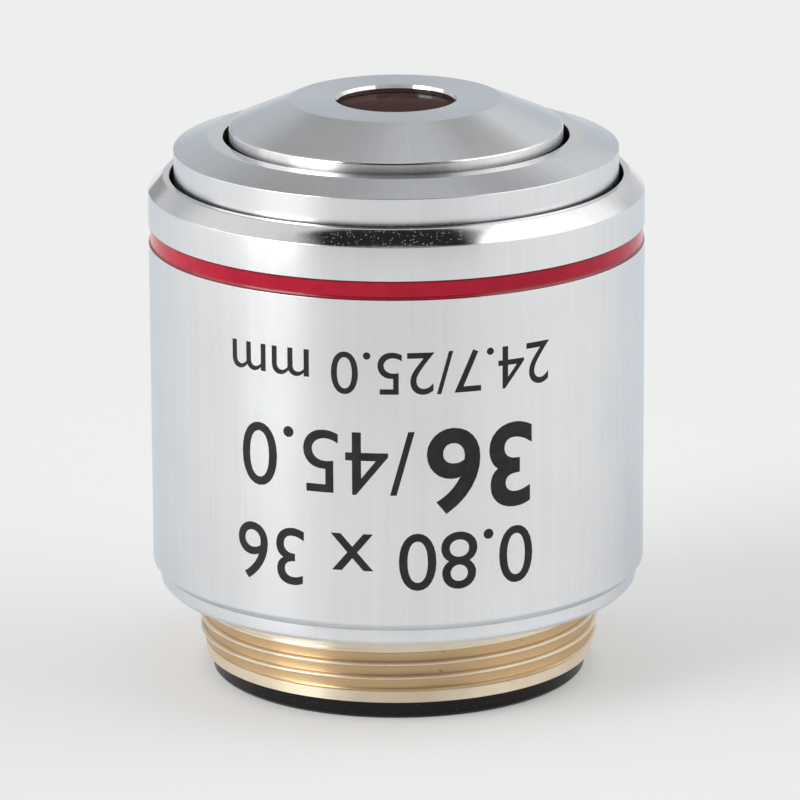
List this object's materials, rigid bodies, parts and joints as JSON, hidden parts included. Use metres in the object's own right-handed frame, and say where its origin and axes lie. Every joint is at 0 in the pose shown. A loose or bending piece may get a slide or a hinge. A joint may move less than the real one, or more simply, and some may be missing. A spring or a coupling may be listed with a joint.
{
  "type": "microscope objective",
  "caption": "Low-power microscope objective: plated sleeve with a red colour band, stepped barrel head and conical nose, brass objective thread and black rear ring.",
  "frame": {"origin": "centre of the rear ring's face, on which it stands; the bottom centre of its box", "axes": "+Z along the optical axis from the thread towards the front lens; X and Y are equal by symmetry, with -Y the side in the picture"},
  "size_m": [0.025, 0.025, 0.0296],
  "materials": {
    "satin_chrome": "satin chrome plate on brass, fine turned grain",
    "polished_chrome": "polished chrome plate on brass",
    "red_enamel": "glossy red enamel filled into a groove",
    "bare_brass": "bare turned brass",
    "black_anodised": "black anodised, half gloss",
    "blackened_brass": "chemically blackened, matt",
    "coated_glass": "polished, magenta anti-reflection coating",
    "plain_glass": "polished optical glass"
  },
  "bodies": {
    "root": {"outer_sleeve": "satin_chrome", "colour_band": "red_enamel", "mount_body": "bare_brass", "rear_stop": "black_anodised", "lens_barrel": "polished_chrome", "nose_cap": "polished_chrome", "parfocal_shim": "bare_brass", "front_crown_lens": "coated_glass", "front_flint_lens": "plain_glass", "front_lock_ring": "blackened_brass", "air_spacer": "blackened_brass", "middle_cell": "blackened_brass", "middle_lens": "plain_glass", "middle_lock_ring": "blackened_brass", "aperture_stop": "black_anodised", "rear_cell": "blackened_brass", "rear_crown_lens": "coated_glass", "rear_flint_lens": "plain_glass", "rear_lens_ring": "blackened_brass", "rear_cell_ring": "blackened_brass"}
  },
  "joints": []
}
